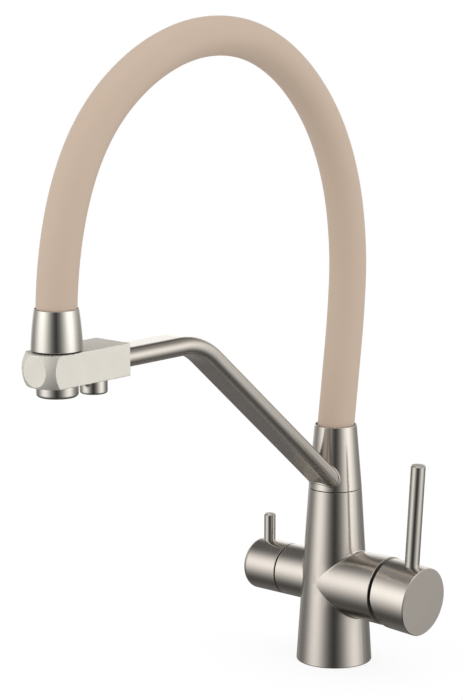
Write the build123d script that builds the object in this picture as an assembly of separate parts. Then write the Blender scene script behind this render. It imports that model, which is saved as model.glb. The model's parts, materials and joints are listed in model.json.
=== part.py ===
"""Kitchen tap for mixed mains water and filtered drinking water, built as the assembly of its real pieces.

Sizes are millimetres. The origin is the centre of the base's underside, on the worktop. +Z is up, the spout
points along -Y, the mixing lever is on the +X side and the filter knob on the -X side.
"""

from build123d import *
import math
import os

# Gaps, fits and tool run-outs that several pieces share
moving_gap = 0.3
bearing_gap = 0.05
face_gap = 0.1
overrun = 2.0

# Column: a cone in two parts, the lower one fixed and the upper one turning with the spout
base_radius = 26.0
base_edge_radius = 0.8
seam_height = 121.6
seam_gap = 0.4
seam_radius = 18.2
seam_bevel = 0.25
rim_wall = 1.0
rim_clearance = 0.9
rim_lip_share = 0.45

# Side branches of the lower column
handle_height = 56.5
branch_wall = 3.8
branch_taper = 1.1
branch_bevel = 0.3
branch_root_fillet = 1.0
filter_branch_radius = 17.9

# Underside of the base: seal groove, two M8 stud holes, three M10x1 inlets
seal_groove_inner_radius = 21.5
seal_groove_width = 2.5
seal_groove_depth = 1.8
stud_hole_radius = 3.32
stud_hole_depth = 16.0
stud_spread = 15.5
inlet_hole_radius = 4.46
inlet_hole_depth = 14.0
inlet_offset = 9.6
inlet_spread = 6.5
passage_radius = 2.6
riser_radius = 3.5

# Mixing cartridge, built up outwards from the chamber's floor
chamber_floor = 16.0
chamber_radius = 17.4
mouth_step_width = 2.1
mouth_step_depth = 1.2
supply_port_rise = 5.0
mixed_port_drop = 7.0
port_seal_radius = 4.2
port_seal_thickness = 1.2
cartridge_base_lift = 0.2
cartridge_base_thickness = 2.6
cartridge_base_rim_width = 1.7
cartridge_base_rim_height = 2.0
locating_pin_radius = 1.2
locating_pin_length = 2.0
locating_pin_offset = 12.0
disc_thickness = 3.2
disc_margin = 2.0
mixing_pocket_radius = 7.0
mixing_pocket_depth = 1.6
mixing_pocket_drop = 2.2
coupler_thickness = 4.9
coupler_floor = 0.55
coupler_gap = 0.6
shell_wall = 2.7
shell_top_thickness = 1.8
carrier_flange_thickness = 4.6
carrier_neck_radius = 11.0
carrier_neck_rise = 4.8
carrier_slot_play = 1.7
nut_length = 6.2
nut_clearance = 1.5
nut_slots = 4
nut_slot_width = 3.0
nut_slot_depth = 1.6

# Lever stem and its cross pin
pivot_rise = 0.8
ball_radius = 2.4
ball_play = 0.1
shank_radius = 1.9
stem_body_radius = 3.5
stem_body_half_length = 4.0
stem_square = 7.0
stem_grip = 17.6
cross_pin_radius = 1.25
cross_pin_inset = 2.0

# Domed cover over the cartridge
cover_wall = 1.5
cover_opening_radius = 9.5
cover_ring_play = 0.2
cover_ring_step = 2.3
cover_ring_thickness = 2.4
cover_inset = 1.0

# Handle hub with its relief, lever rod and set screw
hub_gap = 2.2
handle_lean_degrees = 3.42
handle_hub_length = 27.5
handle_hub_bevel = 0.5
handle_hub_back_bevel = 0.3
handle_relief_degrees = 13.3
cover_clearance = 1.2
rod_radius = 5.0
rod_inset = 11.3
rod_socket_depth = 10.3
rod_stand = 67.4
rod_edge = 0.5
set_screw_radius = 2.5
set_screw_length = 8.0
set_screw_inset = 12.1
set_screw_key = 2.5
set_screw_key_depth = 2.5

# Filter valve, built up outwards from its chamber's floor
filter_chamber_floor = 14.5
filter_seal_thickness = 1.5
filter_seal_bore_radius = 3.0
filter_seal_width = 3.6
filter_disc_thickness = 2.5
filter_disc_hole_radius = 1.5
filter_disc_hole_offset = 3.4
valve_cup_radius = 7.0
valve_cup_wall = 1.3
valve_cup_clearance = 0.2
valve_cup_play = 1.55
valve_waist_gap = 1.1
valve_waist_length = 7.0
valve_window_width = 5.0
valve_barrel_length = 17.5
valve_hex_across = 22.0
valve_hex_thickness = 4.4
valve_hex_clearance = 0.7
valve_hex_inset = 1.0
gland_wall = 2.2
gland_rise = 4.7
spindle_radius = 4.0
spindle_foot_width = 6.0
spindle_foot_thickness = 2.4
spindle_grip = 5.5

# Filter knob, its pin, seam ring and set screw
knob_seam = 1.0
knob_ring_inset = 1.1
knob_ring_width = 3.2
filter_knob_length = 29.4
filter_knob_edge_radius = 4.6
filter_knob_wall = 4.5
gland_clearance = 2.9
filter_pin_radius = 4.0
filter_pin_inset = 10.8
filter_pin_socket_depth = 6.9
filter_pin_stand = 18.6
filter_pin_edge = 0.6
knob_screw_radius = 2.0
knob_screw_length = 6.0
knob_screw_key = 2.0
knob_screw_key_depth = 2.0
knob_screw_inset = 3.3

# Spout hub, on which the upper column turns
hub_radius = 12.2
hub_height = 27.0
hub_shoulder = 1.2
hub_spigot_length = 14.0
hub_passage_radius = 1.8
hub_passage_wall = 1.6
filter_groove_width = 5.0
filter_groove_bite = 0.4
o_ring_thickness = 1.8
o_ring_groove_play = 0.3
o_ring_land = 1.0
glide_ring_width = 2.9
glide_ring_thickness = 1.2
upper_ring_width = 1.8
upper_ring_thickness = 1.0
upper_ring_drop = 1.0
stop_groove_land = 1.5
stop_groove_width = 3.4
stop_groove_depth = 1.8
stop_rib_width = 4.0
stop_screw_radius = 2.0
stop_screw_tip_radius = 1.4
stop_screw_tip_length = 1.6
stop_screw_key = 2.0
stop_screw_key_depth = 1.6

# Upper column inside
web_gap = 1.6
web_thickness = 4.0
web_hole_radius = 6.5
well_depth = 11.5

# Spout arm: a flattened tube, and the plastic tube for filtered water inside it
arm_width = 26.0
arm_thickness = 12.0
arm_wall = 1.2
arm_port_rise = 8.6
arm_rise = -0.3
arm_level_run = 71.0
arm_bend_radius = 50.0
arm_socket_depth = 3.0
filter_tube_radius = 3.0
filter_tube_wall = 1.0
filter_tube_seat = 2.0

# Outlet block at the end of the arm
reach = 265.5
block_rise = 88.5
block_height = 20.3
block_side_wall = 1.3
block_tail = 8.8
block_edge_radius = 0.5
nose_radius = 21.1
nose_cut = 2.2
dock_clearance = 0.4
dock_ring_width = 1.6
dock_ring_thickness = 0.8

# Filtered water outlet under the block
filter_outlet_offset = 31.0
filter_outlet_lip = 1.2
filter_outlet_drop = 9.8
filter_outlet_wall = 0.8
filter_outlet_thread_gap = 0.5
filter_outlet_edge_radius = 1.5
filter_outlet_bore_radius = 6.6

# Main outlet: the head that stands in the block's bore
head_radius = 12.8
head_drop = 7.2
head_edge_radius = 2.0
aerator_wall = 2.0
aerator_roof_gap = 1.2
insert_recess = 1.0
insert_thickness = 4.0
insert_seal_thickness = 1.4
insert_seal_width = 1.8
cell_across = 2.2
cell_wall = 0.7
barrel_neck_radius = 9.0
barrel_neck_wall = 3.0
barrel_neck_length = 9.7

# Collar over the hose end
collar_gap = 1.0
collar_flare = 2.2
collar_height = 24.8
collar_bulge = 0.35
collar_edge_radius = 0.3
collar_floor_thickness = 3.6
collar_clearance = 0.4
collar_wall = 0.7

# Hose: a silicone sleeve over a bendable metal core with the water hose inside
hose_radius = 12.5
sleeve_wall = 4.0
core_clearance = 0.2
core_wall = 1.1
water_hose_clearance = 1.9
water_hose_wall = 1.8
nipple_length = 10.0
nipple_flange_width = 2.1
nipple_flange_thickness = 1.4
nipple_barbs = 3
nipple_barb_depth = 0.5
hose_column_seat = 3.5
hose_head_seat = 7.0
hose_last_run = 29.0
run_share = 0.45

# Radii worked out from the ones above
rim_radius = hose_radius + rim_clearance + rim_wall
seal_groove_outer_radius = seal_groove_inner_radius + seal_groove_width
mouth_radius = chamber_radius + mouth_step_width
main_branch_radius = mouth_radius + branch_wall
main_branch_root_radius = main_branch_radius - branch_taper
shell_bore_radius = chamber_radius - shell_wall
fixed_disc_radius = shell_bore_radius - cartridge_base_rim_width
moving_disc_radius = fixed_disc_radius - disc_margin
carrier_flange_radius = shell_bore_radius - moving_gap
carrier_slot_width = 2 * (stem_body_radius + moving_gap)
carrier_slot_height = stem_square + 2 * carrier_slot_play
nut_bore_radius = carrier_neck_radius + nut_clearance
cross_pin_length = 2 * (carrier_neck_radius - cross_pin_inset)
cover_ring_radius = mouth_radius - cover_ring_play
cover_radius = cover_ring_radius - cover_ring_step
filter_disc_radius = valve_cup_radius - valve_cup_clearance
filter_seal_radius = filter_seal_bore_radius + filter_seal_width
valve_waist_radius = valve_cup_radius + valve_cup_wall
filter_chamber_radius = valve_waist_radius + valve_waist_gap
filter_counterbore_radius = valve_hex_across / math.sqrt(3) + valve_hex_clearance
gland_radius = spindle_radius + gland_wall
knob_ring_outer_radius = filter_branch_radius - knob_ring_inset
knob_ring_inner_radius = knob_ring_outer_radius - knob_ring_width
filter_knob_recess_radius = filter_branch_radius - filter_knob_wall
column_bore_radius = hub_radius + bearing_gap
hub_spigot_radius = hub_radius - hub_shoulder
hub_passage_offset = hub_spigot_radius - hub_passage_wall - hub_passage_radius
filter_groove_radius = hub_passage_offset + hub_passage_radius - filter_groove_bite
filter_tube_bore_radius = filter_tube_radius - filter_tube_wall
dock_bore_radius = head_radius + dock_clearance
dock_ring_inner_radius = dock_bore_radius + face_gap
dock_ring_outer_radius = dock_ring_inner_radius + dock_ring_width
block_width = 2 * (dock_bore_radius + block_side_wall)
filter_outlet_thread_radius = filter_outlet_bore_radius + filter_outlet_wall
filter_outlet_radius = filter_outlet_thread_radius + filter_outlet_lip
barrel_bore_radius = barrel_neck_radius - barrel_neck_wall
collar_top_radius = hose_radius + collar_clearance + collar_wall
collar_bottom_radius = collar_top_radius + collar_flare
hose_bore_radius = hose_radius - sleeve_wall
core_radius = hose_bore_radius - core_clearance
core_bore_radius = core_radius - core_wall
water_hose_radius = core_bore_radius - water_hose_clearance
water_hose_bore_radius = water_hose_radius - water_hose_wall
nipple_radius = hose_bore_radius - face_gap
nipple_flange_radius = nipple_radius + nipple_flange_width

# Places along the mixing side, from the column's axis outwards
cartridge_base_start = chamber_floor + cartridge_base_lift
cartridge_shell_start = cartridge_base_start + cartridge_base_thickness
moving_disc_start = cartridge_shell_start + disc_thickness + bearing_gap
coupler_start = moving_disc_start + disc_thickness
ball_centre = coupler_start + coupler_floor + moving_gap + ball_radius
carrier_start = coupler_start + coupler_thickness + coupler_gap
shell_top = carrier_start + carrier_flange_thickness + bearing_gap + shell_top_thickness
mouth_floor = shell_top - mouth_step_depth
carrier_neck_end = shell_top + carrier_neck_rise
lever_pivot = shell_top + pivot_rise
nut_end = shell_top + nut_length
main_branch_end = nut_end + cover_ring_thickness + cover_inset
hub_start = main_branch_end + hub_gap
handle_hub_end = hub_start + handle_hub_length
stem_end = hub_start + stem_grip
set_screw_offset = hub_start + set_screw_inset
rod_foot_offset = handle_hub_end - rod_inset
rod_socket_height = main_branch_radius - rod_socket_depth
rod_top_height = handle_height + main_branch_radius + rod_stand

# Places along the filter side, from the column's axis outwards
filter_disc_start = filter_chamber_floor + filter_seal_thickness
filter_moving_start = filter_disc_start + filter_disc_thickness + bearing_gap
spindle_start = filter_moving_start + filter_disc_thickness
valve_cup_end = spindle_start + spindle_foot_thickness + valve_cup_play
filter_counterbore_floor = filter_disc_start + valve_barrel_length
filter_branch_end = filter_counterbore_floor + valve_hex_thickness + valve_hex_inset
gland_end = filter_branch_end + gland_rise
knob_start = filter_branch_end + knob_seam
filter_knob_recess_end = gland_end + gland_clearance
spindle_end = filter_knob_recess_end + spindle_grip
knob_screw_offset = filter_knob_recess_end + knob_screw_inset
filter_knob_end = knob_start + filter_knob_length
filter_pin_offset = filter_knob_end - filter_pin_inset
filter_pin_socket_height = filter_branch_radius - filter_pin_socket_depth
filter_pin_top = handle_height + filter_branch_radius + filter_pin_stand

# Heights of the spout's pieces, from the seam upwards
body_top = seam_height - seam_gap / 2
column_bottom = seam_height + seam_gap / 2
hub_top = body_top + hub_height
upper_ring_top = hub_top - upper_ring_drop
stop_groove_height = upper_ring_top - upper_ring_width - stop_groove_land - stop_groove_width / 2
web_bottom = hub_top + web_gap
web_top = web_bottom + web_thickness
rim_height = web_top + well_depth
block_middle = web_top + block_rise
block_top = block_middle + block_height / 2
block_bottom = block_middle - block_height / 2
filter_outlet_bottom = block_bottom - filter_outlet_drop
head_bottom = block_bottom - head_drop
aerator_length = insert_recess + insert_thickness + insert_seal_thickness + aerator_roof_gap
collar_bottom = block_top + collar_gap
collar_top = collar_bottom + collar_height
barrel_top = collar_bottom + barrel_neck_length

# The arm and the block, in front of the column's axis
filter_outlet_reach = reach - filter_outlet_offset
block_length_behind = filter_outlet_offset + filter_outlet_radius + block_tail
block_end = reach - block_length_behind
nose_flat = nose_radius - nose_cut
arm_height = block_middle + arm_rise
arm_bend_from_axis = block_end - arm_level_run
# Height at which the arm's centre line meets the bore of the upper column
filter_port_height = seam_height + arm_port_rise
arm_slope = math.atan((arm_height - filter_port_height) / (arm_bend_from_axis - column_bore_radius))
filter_outlet_thread_length = arm_height - filter_tube_radius - filter_outlet_thread_gap - block_bottom

# The centre line of the hose in the plane of the spout, as points (y, height above the web)
head_seat_rise = barrel_top + hose_head_seat - web_top
hose_route = [
    (-0.7, hose_column_seat),
    (4.5, 42.5),
    (10.5, 88.5),
    (12.5, 131.0),
    (4.5, 179.0),
    (-16.0, 222.0),
    (-50.5, 257.5),
    (-93.0, 278.0),
    (-141.5, 280.5),
    (-188.0, 266.0),
    (-227.5, 237.5),
    (-252.5, 198.0),
    (-reach, head_seat_rise + hose_last_run),
    (-reach, head_seat_rise),
]

main_side = Plane(origin=(0, 0, handle_height), x_dir=(0, 0, 1), z_dir=(1, 0, 0))
filter_side = Plane(origin=(0, 0, handle_height), x_dir=(0, 0, 1), z_dir=(-1, 0, 0))


def column_radius(height):
    """Outer radius of the column's two cones at a height."""
    if height < seam_height:
        return base_radius + (seam_radius - base_radius) * height / seam_height
    share = (height - seam_height) / (rim_height - seam_height)
    return seam_radius + (rim_radius - seam_radius) * share


def turned(outline, plane=Plane.XY, rounded=()):
    """Solid turned about the plane's normal from (radius, height) points.

    rounded lists (point number, radius) for the corners that are rounded.
    """
    face = make_face(Polyline(*outline, close=True))
    for number, radius in rounded:
        corner = face.vertices().sort_by_distance(outline[number])[0]
        face = fillet(corner, radius)
    profile_plane = Plane(origin=plane.origin, x_dir=plane.x_dir, z_dir=-plane.y_dir)
    return revolve(profile_plane * face, Axis(plane.origin, plane.z_dir))


def rod(plane, radius, start, end, x=0, y=0):
    """Round bar along the plane's normal, from start to end."""
    return extrude(plane.offset(start) * Pos(x, y) * Circle(radius), amount=end - start)


def ring(plane, inner, outer, start, end, x=0, y=0):
    """Flat-sided ring along the plane's normal, from start to end."""
    profile = Circle(outer) - Circle(inner)
    return extrude(plane.offset(start) * Pos(x, y) * profile, amount=end - start)


def o_ring(outer, thickness, height):
    """Round-section ring whose outside has the radius outer, centred at a height on the column's axis."""
    return Pos(0, 0, height) * Torus(outer - thickness / 2, thickness / 2)


def key_socket(plane, across, start, depth, x=0, y=0):
    """Hexagonal hole for a key, from the start level inwards against the plane's normal."""
    hexagon = RegularPolygon(across / 2, 6, major_radius=False)
    return extrude(plane.offset(start) * Pos(x, y) * hexagon, amount=-depth)


def drill(start, end, radius):
    """Straight hole between two points, as the tool's solid."""
    a, b = Vector(*start), Vector(*end)
    return extrude(Plane(origin=a, z_dir=b - a) * Circle(radius), amount=(b - a).length)


# Lower column


def make_body():
    """Fixed lower column with both side branches, valve chambers, passages and underside holes."""
    body = turned(
        [(0, 0), (base_radius, 0), (seam_radius, body_top), (0, body_top)],
        rounded=[(1, base_edge_radius), (2, seam_bevel)],
    )
    body += turned(
        [
            (0, 0),
            (main_branch_root_radius, 0),
            (main_branch_radius, main_branch_end),
            (0, main_branch_end),
        ],
        main_side,
        rounded=[(2, branch_bevel)],
    )
    body += turned(
        [
            (0, 0),
            (filter_branch_radius, 0),
            (filter_branch_radius, filter_branch_end),
            (0, filter_branch_end),
        ],
        filter_side,
        rounded=[(2, branch_bevel)],
    )
    roots = [edge for edge in body.edges() if edge.geom_type not in (GeomType.CIRCLE, GeomType.LINE)]
    body = fillet(roots, branch_root_fillet)
    return body - body_valve_chambers() - body_passages() - body_underside()


def body_valve_chambers():
    """Seats of the mixing cartridge, the filter valve and the spout hub."""
    cuts = rod(main_side, chamber_radius, chamber_floor, main_branch_end + overrun)
    cuts += rod(main_side, mouth_radius, mouth_floor, main_branch_end + overrun)
    for side in (-1, 1):
        cuts += rod(
            main_side,
            locating_pin_radius,
            chamber_floor - locating_pin_length,
            chamber_floor + overrun,
            y=side * locating_pin_offset,
        )
    mouth = filter_branch_end + overrun
    cuts += rod(filter_side, filter_chamber_radius, filter_chamber_floor, mouth)
    cuts += rod(filter_side, filter_counterbore_radius, filter_counterbore_floor, mouth)
    cuts += rod(Plane.XY, hub_spigot_radius, body_top - hub_spigot_length, body_top + overrun)
    return cuts


def body_passages():
    """Drilled ways for hot, cold, mixed and filtered water."""
    port_height = handle_height + supply_port_rise
    mixed_height = handle_height - mixed_port_drop
    hub_floor = body_top - hub_spigot_length
    seat = chamber_floor + overrun
    cuts = drill((0, 0, mixed_height), (0, 0, hub_floor + overrun), riser_radius)
    cuts += drill((0, 0, mixed_height), (seat, 0, mixed_height), passage_radius)
    for side in (-1, 1):
        y = side * inlet_spread
        cuts += drill((inlet_offset, y, 0), (inlet_offset, y, port_height), passage_radius)
        cuts += drill((inlet_offset, y, port_height), (seat, y, port_height), passage_radius)
    filter_seat = -filter_chamber_floor - overrun
    cuts += drill((-inlet_offset, 0, 0), (-inlet_offset, 0, handle_height), passage_radius)
    cuts += drill((-inlet_offset, 0, handle_height), (filter_seat, 0, handle_height), passage_radius)
    window = filter_disc_start + valve_waist_length / 2
    cuts += drill(
        (-window, 0, handle_height + valve_waist_radius),
        (-hub_passage_offset, 0, hub_floor + overrun),
        hub_passage_radius,
    )
    return cuts


def body_underside():
    """Groove for the base seal, stud holes and inlet holes, cut from below."""
    cuts = ring(Plane.XY, seal_groove_inner_radius, seal_groove_outer_radius, -overrun, seal_groove_depth)
    for side in (-1, 1):
        cuts += rod(Plane.XY, stud_hole_radius, -overrun, stud_hole_depth, y=side * stud_spread)
        cuts += rod(
            Plane.XY, inlet_hole_radius, -overrun, inlet_hole_depth, inlet_offset, side * inlet_spread
        )
    return cuts + rod(Plane.XY, inlet_hole_radius, -overrun, inlet_hole_depth, -inlet_offset)


def make_base_seal():
    """Rubber ring that seals the base to the worktop."""
    return ring(Plane.XY, seal_groove_inner_radius, seal_groove_outer_radius, 0, seal_groove_depth)


# Mixing cartridge


def cartridge_ports(radius, start, end):
    """Round bars at the hot, cold and mixed ports of the cartridge."""
    bars = rod(main_side, radius, start, end, x=-mixed_port_drop)
    for side in (-1, 1):
        bars += rod(main_side, radius, start, end, x=supply_port_rise, y=side * inlet_spread)
    return bars


def make_cartridge_seals():
    """Three rubber rings between the chamber floor and the cartridge."""
    end = chamber_floor + port_seal_thickness
    rings = cartridge_ports(port_seal_radius, chamber_floor, end)
    return rings - cartridge_ports(passage_radius, chamber_floor - overrun, end + overrun)


def make_cartridge_base():
    """Base plate with ports, seal pockets, locating pins and a rim that centres the fixed disc."""
    base = rod(main_side, chamber_radius, cartridge_base_start, cartridge_shell_start)
    base += ring(
        main_side,
        fixed_disc_radius,
        shell_bore_radius,
        cartridge_shell_start,
        cartridge_shell_start + cartridge_base_rim_height,
    )
    for side in (-1, 1):
        base += rod(
            main_side,
            locating_pin_radius,
            chamber_floor - locating_pin_length,
            cartridge_base_start,
            y=side * locating_pin_offset,
        )
    base -= cartridge_ports(port_seal_radius, chamber_floor - overrun, chamber_floor + port_seal_thickness)
    return base - cartridge_ports(passage_radius, chamber_floor, cartridge_shell_start + overrun)


def make_cartridge_shell():
    """Plastic housing that holds the discs and the turning carrier."""
    shell = rod(main_side, chamber_radius, cartridge_shell_start, shell_top)
    shell -= rod(main_side, shell_bore_radius, cartridge_shell_start, shell_top - shell_top_thickness)
    return shell - rod(main_side, carrier_neck_radius + bearing_gap, chamber_floor, shell_top + overrun)


def make_fixed_disc():
    """Fixed ceramic disc with the three ports."""
    end = cartridge_shell_start + disc_thickness
    disc = rod(main_side, fixed_disc_radius, cartridge_shell_start, end)
    return disc - cartridge_ports(passage_radius, chamber_floor, end + overrun)


def make_moving_disc():
    """Sliding ceramic disc, whose pocket joins the supply ports to the mixed one as it moves up."""
    disc = rod(main_side, moving_disc_radius, moving_disc_start, coupler_start)
    start = moving_disc_start - overrun
    end = moving_disc_start + mixing_pocket_depth
    return disc - rod(main_side, mixing_pocket_radius, start, end, x=-mixing_pocket_drop)


def make_disc_coupler():
    """Plastic holder on the sliding disc, with the socket that the lever's ball pushes."""
    end = coupler_start + coupler_thickness
    coupler = rod(main_side, moving_disc_radius, coupler_start, end)
    floor = ball_centre - ball_radius - moving_gap
    return coupler - rod(main_side, ball_radius + ball_play, floor, end + overrun)


def make_carrier():
    """Turning carrier with the slot in which the stem tilts and the hole for its cross pin."""
    carrier = rod(main_side, carrier_flange_radius, carrier_start, carrier_start + carrier_flange_thickness)
    carrier += rod(main_side, carrier_neck_radius, carrier_start, carrier_neck_end)
    slot = Rectangle(carrier_slot_height, carrier_slot_width)
    carrier -= extrude(main_side.offset(carrier_start - overrun) * slot, amount=carrier_neck_end)
    return carrier - cross_pin(cross_pin_radius)


def cross_pin(radius):
    """Bar across the carrier, on the axis about which the lever tilts."""
    half = cross_pin_length / 2
    return drill((lever_pivot, -half, handle_height), (lever_pivot, half, handle_height), radius)


def make_stem():
    """Steel stem: ball foot, shank, round body with the pin hole, and the square under the handle."""
    stem = main_side.offset(ball_centre) * Sphere(ball_radius)
    body_start = lever_pivot - stem_body_half_length
    body_end = lever_pivot + stem_body_half_length
    stem += rod(main_side, shank_radius, ball_centre, body_start)
    stem += rod(main_side, stem_body_radius, body_start, body_end)
    square = Rectangle(stem_square, stem_square)
    stem += extrude(main_side.offset(body_end) * square, amount=stem_end - body_end)
    return stem - cross_pin(cross_pin_radius + bearing_gap)


def make_cartridge_nut():
    """Brass ring nut that clamps the cartridge in the branch, with spanner slots."""
    nut = ring(main_side, nut_bore_radius, mouth_radius, shell_top, nut_end)
    for number in range(nut_slots):
        turn = Rot(0, 0, number * 360 / nut_slots)
        slot = turn * Pos(mouth_radius, 0) * Rectangle(nut_slot_width * 2, nut_slot_width)
        nut -= extrude(main_side.offset(nut_end - nut_slot_depth) * slot, amount=nut_slot_depth + overrun)
    return nut


def make_cartridge_cover():
    """Domed cover, a part of a ball about the lever's pivot, so the handle can tilt over it."""
    ring_end = nut_end + cover_ring_thickness
    dome = main_side.offset(lever_pivot) * Sphere(cover_radius)
    dome -= rod(main_side, cover_radius + overrun, lever_pivot - cover_radius - overrun, nut_end)
    dome += rod(main_side, cover_ring_radius, nut_end, ring_end)
    dome -= main_side.offset(lever_pivot) * Sphere(cover_radius - cover_wall)
    return dome - rod(main_side, cover_opening_radius, lever_pivot, lever_pivot + cover_radius + overrun)


# Lever handle


def make_handle_hub():
    """Leaning round hub, cut square towards the branch, with sockets for the stem and the rod."""
    hub = rod(handle_side(), main_branch_radius, 0, handle_hub_end - lever_pivot)
    hub = chamfer(hub.edges().filter_by(GeomType.CIRCLE).sort_by(Axis.X)[-1], handle_hub_bevel)
    hub -= rod(main_side, main_branch_radius + overrun, 0, hub_start)
    hub = chamfer(hub.edges().sort_by(Axis.X)[0], handle_hub_back_bevel)
    hub -= main_side.offset(lever_pivot) * Sphere(cover_radius + cover_clearance)
    square = Rectangle(stem_square, stem_square)
    hub -= extrude(main_side.offset(hub_start) * square, amount=stem_end - hub_start)
    hub -= lever_bar(rod_radius)
    hub -= rod(set_screw_plane(), set_screw_radius, stem_square / 2, main_branch_radius + overrun)
    return hub - handle_relief()


def handle_relief():
    """Wedge below the hub's middle that lets its lower edge swing towards the branch."""
    drop = main_branch_radius + overrun
    spread = drop * math.tan(math.radians(handle_relief_degrees))
    wedge = Polyline(
        (hub_start, handle_height),
        (hub_start + spread, handle_height - drop),
        (hub_start - overrun, handle_height - drop),
        (hub_start - overrun, handle_height),
        close=True,
    )
    face = Plane.XZ * make_face(wedge)
    return extrude(face, amount=drop, both=True)


def set_screw_plane():
    """Plane on the stem's axis, facing down, for the handle's set screw."""
    return Plane(origin=(set_screw_offset, 0, handle_height), x_dir=(1, 0, 0), z_dir=(0, 0, -1))


def handle_side():
    """Plane at the lever's pivot whose normal is the hub's axis, leaning down a little, its X upwards."""
    lean = math.radians(handle_lean_degrees)
    return Plane(
        origin=(lever_pivot, 0, handle_height),
        x_dir=(math.sin(lean), 0, math.cos(lean)),
        z_dir=(math.cos(lean), 0, -math.sin(lean)),
    )


def lever_bar(radius):
    """Bar square to the hub's axis, from its socket in the hub to its top."""
    side = handle_side()
    foot = Plane(origin=side.offset(rod_foot_offset - lever_pivot).origin, x_dir=side.z_dir, z_dir=side.x_dir)
    top = (rod_top_height - foot.origin.Z) / foot.z_dir.Z
    return rod(foot, radius, rod_socket_height, top)


def make_lever_rod():
    """Polished rod of the lever, with a small bevel round its flat top."""
    bar = lever_bar(rod_radius)
    return chamfer(bar.edges().sort_by(Axis.Z)[-1], rod_edge)


def make_handle_screw():
    """Set screw that holds the hub on the stem, from below."""
    plane = set_screw_plane()
    start = stem_square / 2
    screw = rod(plane, set_screw_radius, start, start + set_screw_length)
    return screw - key_socket(plane, set_screw_key, start + set_screw_length, set_screw_key_depth)


# Filter valve


def make_filter_valve_body():
    """Brass valve body: disc cup with side windows, threaded barrel, hexagon and gland."""
    barrel_start = filter_disc_start + valve_waist_length
    body = rod(filter_side, valve_waist_radius, filter_disc_start, barrel_start)
    body += rod(filter_side, filter_chamber_radius, barrel_start, filter_counterbore_floor)
    hexagon = RegularPolygon(valve_hex_across / 2, 6, major_radius=False)
    body += extrude(filter_side.offset(filter_counterbore_floor) * hexagon, amount=valve_hex_thickness)
    body += rod(filter_side, gland_radius, filter_counterbore_floor, gland_end)
    body -= rod(filter_side, valve_cup_radius, filter_chamber_floor, valve_cup_end)
    body -= rod(filter_side, spindle_radius + bearing_gap, filter_chamber_floor, gland_end + overrun)
    window_start = filter_moving_start
    window = Rectangle(valve_window_width, filter_chamber_radius * 2)
    length = barrel_start - window_start
    return body - extrude(filter_side.offset(window_start) * window, amount=length)


def make_filter_valve_seal():
    """Rubber seat under the filter valve's fixed disc."""
    return ring(
        filter_side, filter_seal_bore_radius, filter_seal_radius, filter_chamber_floor, filter_disc_start
    )


def disc_holes(start, end, turn):
    """Pair of round holes through a disc of the filter valve, turned by an angle about its axis."""
    place = Vector(filter_disc_hole_offset, 0).rotate(Axis.Z, turn)
    holes = rod(filter_side, filter_disc_hole_radius, start, end, place.X, place.Y)
    return holes + rod(filter_side, filter_disc_hole_radius, start, end, -place.X, -place.Y)


def make_filter_fixed_disc():
    """Fixed ceramic disc of the filter valve."""
    end = filter_disc_start + filter_disc_thickness
    disc = rod(filter_side, filter_disc_radius, filter_disc_start, end)
    return disc - disc_holes(filter_chamber_floor, end + overrun, 0)


def make_filter_moving_disc():
    """Turning ceramic disc of the filter valve, shut with its holes a quarter turn from the fixed ones."""
    disc = rod(filter_side, filter_disc_radius, filter_moving_start, spindle_start)
    return disc - disc_holes(filter_chamber_floor, spindle_start + overrun, 90)


def make_filter_spindle():
    """Spindle with the cross-bar foot that drives the disc and leaves its holes open."""
    foot = Circle(filter_disc_radius) & Rectangle(filter_disc_radius * 2, spindle_foot_width)
    spindle = extrude(filter_side.offset(spindle_start) * foot, amount=spindle_foot_thickness)
    return spindle + rod(filter_side, spindle_radius, spindle_start + spindle_foot_thickness, spindle_end)


def make_filter_knob_ring():
    """Dark plastic ring that fills the seam between the branch and the filter knob."""
    end = knob_start - face_gap
    return ring(filter_side, knob_ring_inner_radius, knob_ring_outer_radius, filter_branch_end, end)


def make_filter_knob():
    """Filter knob: round, hollow towards the branch, with its far edge rounded."""
    knob = turned(
        [
            (0, knob_start),
            (filter_branch_radius, knob_start),
            (filter_branch_radius, filter_knob_end),
            (0, filter_knob_end),
        ],
        filter_side,
        rounded=[(1, branch_bevel), (2, filter_knob_edge_radius)],
    )
    knob -= rod(filter_side, filter_knob_recess_radius, knob_start - overrun, filter_knob_recess_end)
    knob -= rod(filter_side, spindle_radius, knob_start, spindle_end)
    knob -= filter_pin_bar()
    return knob - rod(knob_screw_plane(), knob_screw_radius, spindle_radius, filter_branch_radius + overrun)


def filter_pin_bar():
    """Upright pin of the filter knob, from its socket to its top."""
    foot = Plane(origin=(-filter_pin_offset, 0, handle_height), z_dir=(0, 0, 1))
    return rod(foot, filter_pin_radius, filter_pin_socket_height, filter_pin_top - handle_height)


def make_filter_pin():
    """Polished pin by which the filter knob is turned."""
    return chamfer(filter_pin_bar().edges().sort_by(Axis.Z)[-1], filter_pin_edge)


def knob_screw_plane():
    """Plane on the spindle's axis, facing down, for the knob's set screw."""
    return Plane(origin=(-knob_screw_offset, 0, handle_height), x_dir=(1, 0, 0), z_dir=(0, 0, -1))


def make_filter_knob_screw():
    """Set screw that holds the filter knob on the spindle, from below."""
    plane = knob_screw_plane()
    end = spindle_radius + knob_screw_length
    screw = rod(plane, knob_screw_radius, spindle_radius, end)
    return screw - key_socket(plane, knob_screw_key, end, knob_screw_key_depth)


# Spout hub and its rings


def o_ring_heights():
    """Heights of the hub's rubber rings: one below the filtered water's groove and two above it."""
    groove = o_ring_thickness + 2 * o_ring_groove_play
    step = filter_groove_width / 2 + o_ring_land + groove / 2
    upper = filter_port_height + step
    return [filter_port_height - step, upper, upper + groove + o_ring_land]


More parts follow.
